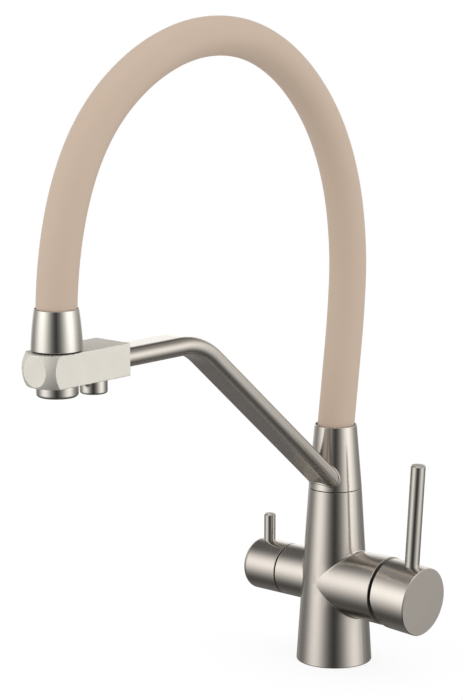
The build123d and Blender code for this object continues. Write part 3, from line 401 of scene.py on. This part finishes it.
def brushed_metal(name, colour, axis, roughness, stretch=0.75, relief_share=0.02, centre=(0, 0, 0)):
    """Metal brushed round an axis, with hair lines that change fast along it and slowly across it.

    The axis is a vector, or a function that adds nodes for it and returns their socket.
    Lines = noise of the place from the centre, divided by the line width along the axis and by the line
    length across it. Roughness = its value plus or minus the gloss change, by the lines, and the end
    roughness where the face is square to the axis. Height = relief share * line width * lines. The colour
    falls to the dull share in soft clouds.
    """
    material, tree = start_material(name)
    place = add_node(tree, "ShaderNodeTexCoord").outputs["Object"]
    if callable(axis):
        direction = axis(tree, place)
    else:
        direction = add_node(tree, "ShaderNodeCombineXYZ", dict(zip("XYZ", axis))).outputs[0]
    offset = add_node(tree, "ShaderNodeVectorMath", {0: place, 1: centre}, operation="SUBTRACT").outputs[0]
    along = add_node(tree, "ShaderNodeVectorMath", {0: offset, 1: direction}, operation="DOT_PRODUCT")
    stretch_along = add_node(
        tree,
        "ShaderNodeMath",
        {0: along.outputs["Value"], 1: line_length / line_width - 1},
        operation="MULTIPLY",
    )
    extra = add_node(
        tree, "ShaderNodeVectorMath", {0: direction, "Scale": stretch_along.outputs[0]}, operation="SCALE"
    )
    stretched = add_node(tree, "ShaderNodeVectorMath", {0: offset, 1: extra.outputs[0]}, operation="ADD")
    lines = add_node(
        tree,
        "ShaderNodeTexNoise",
        {"Vector": stretched.outputs[0], "Scale": 1 / line_length, "Detail": fine_detail},
    )
    clouds = add_node(
        tree, "ShaderNodeTexNoise", {"Vector": place, "Scale": 1 / cloud_size, "Detail": soft_detail}
    )
    rough = add_node(
        tree,
        "ShaderNodeMapRange",
        {
            "Value": lines.outputs["Fac"],
            "To Min": roughness - gloss_change,
            "To Max": roughness + gloss_change,
        },
    )
    normal = add_node(tree, "ShaderNodeTexCoord").outputs["Normal"]
    facing = add_node(tree, "ShaderNodeVectorMath", {0: normal, 1: direction}, operation="DOT_PRODUCT")
    square = add_node(tree, "ShaderNodeMath", {0: facing.outputs["Value"]}, operation="ABSOLUTE")
    rough = add_node(
        tree,
        "ShaderNodeMapRange",
        {
            "Value": square.outputs[0],
            "From Min": end_start,
            "From Max": end_full,
            "To Min": rough.outputs[0],
            "To Max": end_roughness,
        },
        interpolation_type="SMOOTHSTEP",
    )
    tone = add_node(
        tree,
        "ShaderNodeMix",
        {"Factor": clouds.outputs["Fac"], colour_a: linear(colour), colour_b: linear(colour, dull_share)},
        data_type="RGBA",
    )
    bump = add_node(
        tree,
        "ShaderNodeBump",
        {"Height": lines.outputs["Fac"], "Strength": 1.0, "Distance": relief_share * line_width},
    )
    shader = add_node(
        tree,
        "ShaderNodeBsdfPrincipled",
        {
            "Base Color": tone.outputs[mixed_colour],
            "Metallic": 1.0,
            "Roughness": rough.outputs[0],
            "Anisotropic": stretch,
            "Normal": bump.outputs[0],
            "Tangent": direction,
        },
    )
    end_material(tree, shader)
    return material


# %% [markdown]
# ### Which way each piece was brushed
#
# The lower column has branches that were brushed round their own axes, so its material finds out from the
# place which form it is on. The arm was brushed round its own line, which turns at the bend. The upright
# and sideways directions lean a little, so that no face is quite square to them, because there the shader
# would have no tangent.

# %% Brushing directions
upright = (0.1, 0, 1)
sideways = (1, 0, 0.1)
base_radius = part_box("body")[1].y
cone_taper = (base_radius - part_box("swivel_column")[1].y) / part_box("swivel_column")[0].z
branch_rise = 0.3 * mm
bend_tangent = arm_bend_radius * math.tan(arm_slope / 2)
arm_bend_start = -(arm_corner - bend_tangent * math.cos(arm_slope))
arm_bend_end = -(arm_corner + bend_tangent)
print("the arm bends from y", round(arm_bend_start, 4), "to", round(arm_bend_end, 4))


def body_axis(tree, place):
    """X on the two branches, where the place is further from the Z axis than the cone, and Z elsewhere."""
    level = add_node(tree, "ShaderNodeVectorMath", {0: place, 1: (1, 1, 0)}, operation="MULTIPLY")
    distance = add_node(tree, "ShaderNodeVectorMath", {0: level.outputs[0]}, operation="LENGTH")
    height = add_node(tree, "ShaderNodeSeparateXYZ", {0: place}).outputs["Z"]
    cone = add_node(
        tree,
        "ShaderNodeMath",
        {0: height, 1: -cone_taper, 2: base_radius + branch_rise},
        operation="MULTIPLY_ADD",
    )
    branch = add_node(
        tree,
        "ShaderNodeMath",
        {0: distance.outputs["Value"], 1: cone.outputs[0]},
        operation="GREATER_THAN",
    )
    mix = add_node(
        tree,
        "ShaderNodeMix",
        {"Factor": branch.outputs[0], vector_a: upright, vector_b: sideways},
        data_type="VECTOR",
    )
    return mix.outputs[mixed_vector]


def arm_axis(tree, place):
    """The arm's direction: its slope near the column, level near the block, mixed smoothly in the bend."""
    along = add_node(tree, "ShaderNodeSeparateXYZ", {0: place}).outputs["Y"]
    share = add_node(
        tree,
        "ShaderNodeMapRange",
        {"Value": along, "From Min": arm_bend_start, "From Max": arm_bend_end},
        interpolation_type="SMOOTHSTEP",
    )
    mix = add_node(
        tree,
        "ShaderNodeMix",
        {"Factor": share.outputs[0], vector_a: tuple(arm_direction), vector_b: (0, -1, 0)},
        data_type="VECTOR",
    )
    return mix.outputs[mixed_vector]


# %% [markdown]
# ### The nickel pieces
#
# The solid pieces keep their meshes from the frame. Only their material slots change. The lever, pin,
# collar and outlets were ground finer, so they reflect more sharply.

# %% Nickel on its pieces
nickel_colour = "C4BEB7"
ground_colour = "C6C3BC"


def finish(names, material):
    """Gives the frame's nodes one material in place of their own."""
    for name in names:
        mesh = frame["nodes"][name].data
        mesh.materials.clear()
        mesh.materials.append(material)


nickel_column = brushed_metal("brushed_nickel_column", nickel_colour, upright, brushed_roughness)
ground_nickel = brushed_metal("fine_ground_nickel", ground_colour, upright, ground_roughness)
nickel_body = brushed_metal("brushed_nickel_body", nickel_colour, body_axis, brushed_roughness)
nickel_handle = brushed_metal("brushed_nickel_handle", nickel_colour, sideways, brushed_roughness)
arm_bend = (0, -arm_corner, arm_height)
nickel_arm = brushed_metal(
    "brushed_nickel_arm", nickel_colour, arm_axis, brushed_roughness, centre=arm_bend
)
finish(["body"], nickel_body)
finish(["swivel_column"], nickel_column)
finish(["handle_hub", "filter_knob"], nickel_handle)
finish(["spout_arm"], nickel_arm)
finish(["lever_rod", "filter_pin", "hose_collar"], ground_nickel)
finish(["main_outlet_housing", "filter_outlet_housing", "head_barrel"], ground_nickel)
weld.data.materials.append(nickel_column)
print("nickel in linear light:", [round(c, 3) for c in linear(nickel_colour)[:3]])

# %% [markdown]
# ## Turned brass and steel
#
# The metal pieces inside are free-cutting brass and stainless steel, turned on a lathe and left as they
# came off it. The tool's feed leaves fine rings, like brushing but a little rougher, so the same material
# serves with the colour of the bare metal.

# %% Turned metals
turned_stretch = 0.4
brass_colour, brass_roughness = "CDB077", 0.26
steel_colour, steel_roughness = "BAB8B3", 0.24
turned_brass = brushed_metal("turned_brass", brass_colour, upright, brass_roughness, turned_stretch)
turned_steel = brushed_metal("turned_steel", steel_colour, sideways, steel_roughness, turned_stretch)
print("brass in linear light:", [round(c, 3) for c in linear(brass_colour)[:3]])

# %% [markdown]
# ## Fine grained surfaces
#
# The outlet block was blasted with glass beads before plating. The beads leave tiny dents in every
# direction, so the block is pale and soft, and mirrors nothing. The black and white rings, the shell of
# the mixing cartridge and the outlets' inserts are injection moulded acetal, the seals are EPDM rubber,
# and the valve discs are lapped alumina. A mould's spark-eroded wall leaves an even grain too. Beads and
# sparks both leave dents of about 0.05 mm, drawn 0.3 mm wide here, and handling leaves patches of more
# and less gloss. What isn't a metal has the index of refraction of its own stuff. These surfaces differ
# in their values alone, so one material with values of its own for each serves them all.

# %% Fine grained materials
grain_width = 0.3 * mm
handled_patch = 12 * mm
handled_roughness = 0.1


def fine_grained(
    name, colour, roughness, refraction=1.5, metallic=0.0, relief_share=0.04, patch_share=0.9
):
    """Blasted, moulded, rubber or lapped surface with a fine even grain and soft patches.

    Height = relief share * grain width * noise. In the patches the colour falls to the patch share of its
    light and the roughness rises by the handled roughness.
    """
    material, tree = start_material(name)
    place = add_node(tree, "ShaderNodeTexCoord").outputs["Object"]
    skin = add_node(
        tree, "ShaderNodeTexNoise", {"Vector": place, "Scale": 1 / grain_width, "Detail": soft_detail}
    )
    patches = add_node(
        tree, "ShaderNodeTexNoise", {"Vector": place, "Scale": 1 / handled_patch, "Detail": fine_detail}
    )
    tone = add_node(
        tree,
        "ShaderNodeMix",
        {
            "Factor": patches.outputs["Fac"],
            colour_a: linear(colour),
            colour_b: linear(colour, patch_share),
        },
        data_type="RGBA",
    )
    rough = add_node(
        tree,
        "ShaderNodeMapRange",
        {"Value": patches.outputs["Fac"], "To Min": roughness, "To Max": roughness + handled_roughness},
    )
    bump = add_node(
        tree,
        "ShaderNodeBump",
        {"Height": skin.outputs["Fac"], "Strength": 1.0, "Distance": relief_share * grain_width},
    )
    shader = add_node(
        tree,
        "ShaderNodeBsdfPrincipled",
        {
            "Base Color": tone.outputs[mixed_colour],
            "Metallic": metallic,
            "Roughness": rough.outputs[0],
            "IOR": refraction,
            "Normal": bump.outputs[0],
        },
    )
    end_material(tree, shader)
    return material


# %% Materials by slot
block_colour, block_roughness, block_patch_share = "EFECE5", 0.6, 0.97
alumina_refraction, rubber_refraction, acetal_refraction = 1.76, 1.52, 1.48
lapped_roughness, rubber_roughness = 0.2, 0.6
black_roughness, white_roughness, grey_roughness = 0.38, 0.4, 0.42
lapped_relief_share = 0.01
blasted_nickel = fine_grained(
    "blasted_nickel_block",
    block_colour,
    block_roughness,
    metallic=1.0,
    patch_share=block_patch_share,
)
lapped_alumina = fine_grained(
    "lapped_alumina", "E9E6DF", lapped_roughness, alumina_refraction, relief_share=lapped_relief_share
)
finish(["outlet_block"], blasted_nickel)
slot_finishes = {
    "brass": turned_brass,
    "stainless_steel": turned_steel,
    "ceramic": lapped_alumina,
    "black_rubber": fine_grained("epdm_rubber", "1C1C1D", rubber_roughness, rubber_refraction),
    "black_plastic": fine_grained("black_acetal", "161617", black_roughness, acetal_refraction),
    "white_plastic": fine_grained("white_acetal", "E3E1DB", white_roughness, acetal_refraction),
    "grey_plastic": fine_grained("grey_acetal", "8F9193", grey_roughness, acetal_refraction),
}
for row in frame["record"]["subparts"]:
    if row["material_slot"] in slot_finishes:
        finish([row["node"]], slot_finishes[row["material_slot"]])
print("finishes by slot:", sorted(slot_finishes))

# %% [markdown]
# ## Silicone
#
# The sleeve is moulded silicone rubber with a matt, faintly powdery skin, which gives it a soft sheen at
# grazing angles. A little light scatters below its surface, but in this opaque beige that doesn't show,
# and the shader leaves it out. The skin's grain of about 0.1 mm is drawn 0.8 mm wide, and its patterns
# follow the place on the straight sleeve, so they bend with it.

# %% Silicone
silicone_colour, faded_share = "C7B29F", 0.97
silicone_roughness, powdery_roughness = 0.55, 0.68
silicone_refraction, silicone_sheen = 1.41, 0.1
patch_size = 25 * mm
skin_size = 0.8 * mm
skin_relief = 0.0075 * mm
material, tree = start_material("beige_silicone_sleeve")
place = add_node(tree, "ShaderNodeAttribute", attribute_name="straight_place").outputs["Vector"]
patches = add_node(
    tree, "ShaderNodeTexNoise", {"Vector": place, "Scale": 1 / patch_size, "Detail": fine_detail}
)
skin = add_node(
    tree, "ShaderNodeTexNoise", {"Vector": place, "Scale": 1 / skin_size, "Detail": soft_detail}
)
tone = add_node(
    tree,
    "ShaderNodeMix",
    {
        "Factor": patches.outputs["Fac"],
        colour_a: linear(silicone_colour),
        colour_b: linear(silicone_colour, faded_share),
    },
    data_type="RGBA",
)
rough = add_node(
    tree,
    "ShaderNodeMapRange",
    {"Value": patches.outputs["Fac"], "To Min": silicone_roughness, "To Max": powdery_roughness},
)
bump = add_node(
    tree, "ShaderNodeBump", {"Height": skin.outputs["Fac"], "Strength": 1.0, "Distance": skin_relief}
)
shader = add_node(
    tree,
    "ShaderNodeBsdfPrincipled",
    {
        "Base Color": tone.outputs[mixed_colour],
        "Roughness": rough.outputs[0],
        "Normal": bump.outputs[0],
        "IOR": silicone_refraction,
        "Sheen Weight": silicone_sheen,
    },
)
end_material(tree, shader)
hose.data.materials.append(material)
print("silicone in linear light:", [round(c, 3) for c in linear(silicone_colour)[:3]])

# %% [markdown]
# ## The studio
#
# Metal shows its surroundings, so a tap is photographed inside a light tent: two soft glowing areas to the
# left and right, and darkness behind the camera. The tent here is a ball that only reflections see. The
# world outside is white for the camera, for reflections and for glass.

# %% World


def white_for_eyes(tree):
    """1 where the camera, a reflection or a glass ray looks, and 0 for diffuse light."""
    path = add_node(tree, "ShaderNodeLightPath")
    either = add_node(
        tree,
        "ShaderNodeMath",
        {0: path.outputs["Is Camera Ray"], 1: path.outputs["Is Glossy Ray"]},
        operation="ADD",
    )
    return add_node(
        tree,
        "ShaderNodeMath",
        {0: either.outputs[0], 1: path.outputs["Is Transmission Ray"]},
        operation="ADD",
        use_clamp=True,
    ).outputs[0]


ambient_strength = 0.92
world = bpy.data.worlds.new("studio")
world.use_nodes = True
tree = world.node_tree
tree.nodes.clear()
strength = add_node(
    tree,
    "ShaderNodeMapRange",
    {"Value": white_for_eyes(tree), "To Min": ambient_strength, "To Max": 1.0},
)
background = add_node(tree, "ShaderNodeBackground", {"Color": white, "Strength": strength.outputs[0]})
add_node(tree, "ShaderNodeOutputWorld", {"Surface": background.outputs[0]})
bpy.context.scene.world = world
bpy.context.scene.view_settings.view_transform = "Standard"
print("the world lights the tap with a strength of", ambient_strength)

# %% [markdown]
# The floor is a pale grey sheet that glows faintly, so that it is as white as the wall behind it and still
# takes the tap's soft shadow.

# %% Floor
floor_half = 6.0
floor_grey = 0.16
floor_glow, floor_glow_for_eyes = 0.6, 0.85
floor_colour = (floor_grey, floor_grey, floor_grey, 1)
floor_mesh = bpy.data.meshes.new("floor")
corners = [(-floor_half, -floor_half, 0), (floor_half, -floor_half, 0), (floor_half, floor_half, 0)]
floor_mesh.from_pydata(corners + [(-floor_half, floor_half, 0)], [], [(0, 1, 2, 3)])
floor = bpy.data.objects.new("floor", floor_mesh)
bpy.context.scene.collection.objects.link(floor)
material, tree = start_material("pale_floor")
diffuse = add_node(tree, "ShaderNodeBsdfDiffuse", {"Color": floor_colour})
glow_strength = add_node(
    tree,
    "ShaderNodeMapRange",
    {"Value": white_for_eyes(tree), "To Min": floor_glow, "To Max": floor_glow_for_eyes},
)
glow = add_node(tree, "ShaderNodeEmission", {"Color": white, "Strength": glow_strength.outputs[0]})
end_material(tree, add_node(tree, "ShaderNodeAddShader", {0: diffuse.outputs[0], 1: glow.outputs[0]}))
floor_mesh.materials.append(material)
floor.visible_glossy = False
print("the floor is", 2 * floor_half, "m wide")

# %% [markdown]
# Large lamps could make the bright bands in the metal, but their edges would show as hard lines. So the
# tent is a ball round the tap, open at its top, and only reflections see it. The floor lets reflections
# through, so that upright faces show the same bands at every height. Its glow depends on the direction
# alone. Each of the two windows is a bell curve in azimuth, counted from the camera's side, and in
# elevation: exp(-(distance / width) squared), with a width of its own on each flank. A dimmer panel
# stands at the right, behind the tap, and lights the arm's round side. Opposite the camera stand a faint
# low glow and a bright strip just above the horizon, which the flat tops of block and arm show. Towards
# the opening, and straight below where the table is, it glows faintly.
#
# The tent is so wide and even that a reflection finds its light by itself, so it isn't sampled as a lamp,
# which would only add grain to the picture.

# %% Light tent
tent_radius = 2.6
tent_middle = Vector((0, 0, 0.12))
tent_floor, tent_opening = math.radians(-88), math.radians(64)
tent_rings, tent_steps = 77, 180
left_glow, left_inner_width, left_outer_width = 2.0, 33, 34
right_glow, right_inner_width, right_outer_width = 2.15, 36, 35
window_azimuth = 66
window_elevation, window_lower_width, window_upper_width = 14, 39, 37
panel_glow, panel_azimuth, panel_width = 0.85, 120, 25
panel_elevation, panel_lower_width, panel_upper_width = 20, 20, 26
back_glow_near, back_glow_far = 0.03, 0.23
back_start, back_full = 90, 150
back_elevation, back_lower_width, back_upper_width = -10, 90, 42
strip_glow, strip_azimuth, strip_width = 1.75, 193, 36
strip_elevation, strip_height = 9, 17
overhead_glow, overhead_start, overhead_full = 0.18, 40, 64
table_glow, table_start, table_full = 0.15, -50, -75
tent_colour = (1, 0.99, 0.97, 1)
full_turn = 360


def tent_points():
    """Rings of points from the bottom of the ball up to its opening."""
    elevation = np.linspace(tent_floor, tent_opening, tent_rings)[:, None]
    turn = np.linspace(0, 2 * np.pi, tent_steps, endpoint=False)[None, :]
    level = np.cos(elevation)
    ball = np.stack([level * np.cos(turn), level * np.sin(turn), np.sin(elevation) + 0 * turn], axis=-1)
    return np.array(tent_middle) + tent_radius * ball


def bell(distance, lower_width, upper_width):
    """exp(-(distance / width) squared), with one width below the middle and one above it."""
    return np.exp(-((distance / np.where(distance < 0, lower_width, upper_width)) ** 2))


def tent_glow(points):
    """Brightness of the tent: the sum of its windows, panel, back, strip, overhead glow and table.

    Each depends on the azimuth, which is positive to the right of the camera's side, and on the elevation.
    """
    direction = points - np.array(tent_middle)
    level = np.hypot(direction[..., 0], direction[..., 1])
    elevation = np.degrees(np.arctan2(direction[..., 2], level))
    azimuth = np.degrees(np.arctan2(direction[..., 0], -direction[..., 1]) - camera_azimuth)
    azimuth = (azimuth + full_turn / 2) % full_turn - full_turn / 2
    turned_away = np.abs(azimuth)
    left = left_glow * bell(turned_away - window_azimuth, left_inner_width, left_outer_width)
    right = right_glow * bell(turned_away - window_azimuth, right_inner_width, right_outer_width)
    windows = np.where(azimuth < 0, left, right)
    windows *= bell(elevation - window_elevation, window_lower_width, window_upper_width)
    panel = panel_glow * bell(azimuth - panel_azimuth, panel_width, panel_width)
    panel *= bell(elevation - panel_elevation, panel_lower_width, panel_upper_width)
    back = np.interp(turned_away, [back_start, back_full], [back_glow_near, back_glow_far])
    back *= bell(elevation - back_elevation, back_lower_width, back_upper_width)
    strip = strip_glow * bell(azimuth % full_turn - strip_azimuth, strip_width, strip_width)
    strip *= bell(elevation - strip_elevation, strip_height, strip_height)
    overhead = np.interp(elevation, [overhead_start, overhead_full], [0, overhead_glow])
    table = np.interp(elevation, [table_full, table_start], [table_glow, 0])
    return windows + panel + back + strip + overhead + table


points = tent_points()
brightness = tent_glow(points).astype(np.float32)
tent = grid_mesh("light_tent", points)
glow = tent.data.attributes.new("glow", "FLOAT", "POINT")
glow.data.foreach_set("value", brightness.ravel())
tent.visible_camera = False
tent.visible_diffuse = False
tent.visible_shadow = False
material, tree = start_material("tent_glow")
strength = add_node(tree, "ShaderNodeAttribute", attribute_name="glow").outputs["Fac"]
end_material(tree, add_node(tree, "ShaderNodeEmission", {"Color": tent_colour, "Strength": strength}))
material.cycles.emission_sampling = "NONE"
tent.data.materials.append(material)
print("the tent glows from", round(float(brightness.min()), 2), "to", round(float(brightness.max()), 2))

# %% [markdown]
# Two large square lamps, one on each side, shape the matt hose and cast the soft shadow. Reflections don't
# see them, because they see the tent's windows instead.

# %% Lamps
lamp_azimuth = 62
lamp_height, lamp_distance, lamp_size, lamp_power = 1.1, 1.6, 1.2, 5
for name, turn_degrees in (("soft_left", -lamp_azimuth), ("soft_right", lamp_azimuth)):
    lamp = bpy.data.lights.new(name, "AREA")
    lamp.shape = "SQUARE"
    lamp.size = lamp_size
    lamp.energy = lamp_power
    holder = bpy.data.objects.new(name, lamp)
    turn = camera_azimuth + math.radians(turn_degrees)
    x, y = math.sin(turn) * lamp_distance, -math.cos(turn) * lamp_distance
    holder.location = (x, y, lamp_height)
    holder.rotation_euler = (tent_middle - holder.location).to_track_quat("-Z", "Y").to_euler()
    holder.visible_glossy = False
    holder.visible_camera = False
    bpy.context.scene.collection.objects.link(holder)
    print(name, "stands at", [round(v, 2) for v in holder.location])
